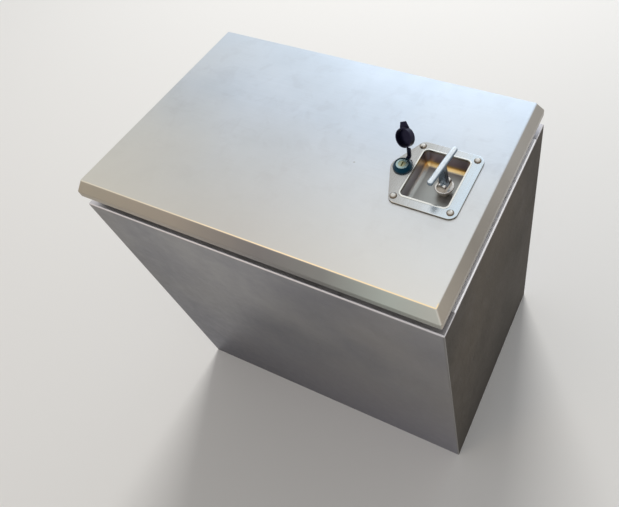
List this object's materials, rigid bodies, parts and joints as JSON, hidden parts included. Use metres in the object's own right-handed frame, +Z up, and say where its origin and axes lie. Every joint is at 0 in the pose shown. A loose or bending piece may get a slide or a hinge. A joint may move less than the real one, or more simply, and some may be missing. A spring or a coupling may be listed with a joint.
{
  "type": "battery box",
  "caption": "Stainless steel top-opening battery box with a bevelled hinged lid, a recessed folding T-handle latch, a key lock with a rubber dust cap, and a rubber-matted inside.",
  "frame": {"origin": "middle of the underside of the box body, on the ground", "axes": "+X along the box towards the end with the latch, -Y is the long front side, +Z up"},
  "size_m": [0.624, 0.417, 0.6625],
  "materials": {
    "body_sheet": "satin",
    "lid_sheet": "satin",
    "bright_steel": "polished",
    "hinge_steel": "satin",
    "zinc_plate": "bright",
    "lock_metal": "satin",
    "black_rubber": "matt",
    "seal_rubber": "matt"
  },
  "bodies": {
    "box": {"front_panel": "body_sheet", "rear_panel": "body_sheet", "hinge_end_panel": "body_sheet", "latch_end_panel": "body_sheet", "floor_panel": "body_sheet", "floor_mat": "seal_rubber", "cable_grommets": "seal_rubber", "latch_keeper": "body_sheet", "hinge_body_leaf": "hinge_steel", "hinge_pin": "hinge_steel", "hinge_body_rivets": "hinge_steel"},
    "lid": {"lid_shell": "lid_sheet", "lid_gasket": "seal_rubber", "hinge_lid_leaf": "hinge_steel", "hinge_lid_rivets": "hinge_steel", "latch_dish": "bright_steel", "latch_gasket": "seal_rubber", "latch_screws": "bright_steel", "latch_nuts": "zinc_plate", "shaft_housing": "zinc_plate", "lock_housing": "lock_metal", "lock_nut": "zinc_plate", "dust_cap_ring": "black_rubber", "dust_cap_strap": "black_rubber"},
    "swivel": {"swivel_hub": "bright_steel", "handle_pin": "bright_steel", "cam_spacer": "zinc_plate", "cam_arm": "zinc_plate", "cam_washer": "zinc_plate", "cam_nut": "zinc_plate"},
    "handle": {"t_handle": "bright_steel"},
    "plug": {"key_plug": "lock_metal", "lock_tail": "zinc_plate", "lock_tail_screw": "zinc_plate"},
    "cap": {"dust_cap": "black_rubber"}
  },
  "joints": [
    {"name": "lid_hinge", "type": "hinge", "parent": "box", "child": "lid", "pos_m": [-0.3065, 0, 0.5609], "axis": [0, -1, 0], "range_deg": [0, 100]},
    {"name": "handle_turn", "type": "hinge", "parent": "lid", "child": "swivel", "pos_m": [0.2265, -0.0038, 0.57], "axis": [0, 0, 1], "range_deg": [-84, 6]},
    {"name": "handle_fold", "type": "hinge", "parent": "swivel", "child": "handle", "pos_m": [0.2265, -0.0038, 0.6], "axis": [-0.1045, -0.9945, 0], "range_deg": [0, 90]},
    {"name": "key_turn", "type": "hinge", "parent": "lid", "child": "plug", "pos_m": [0.1595, -0.0008, 0.6], "axis": [0, 0, 1], "range_deg": [0, 90]},
    {"name": "dust_cap_hinge", "type": "hinge", "parent": "lid", "child": "cap", "pos_m": [0.1595, 0.0188, 0.6248], "axis": [0.9877, 0, 0.1564], "range_deg": [0, 117], "deforming": ["dust_cap_strap"]}
  ]
}
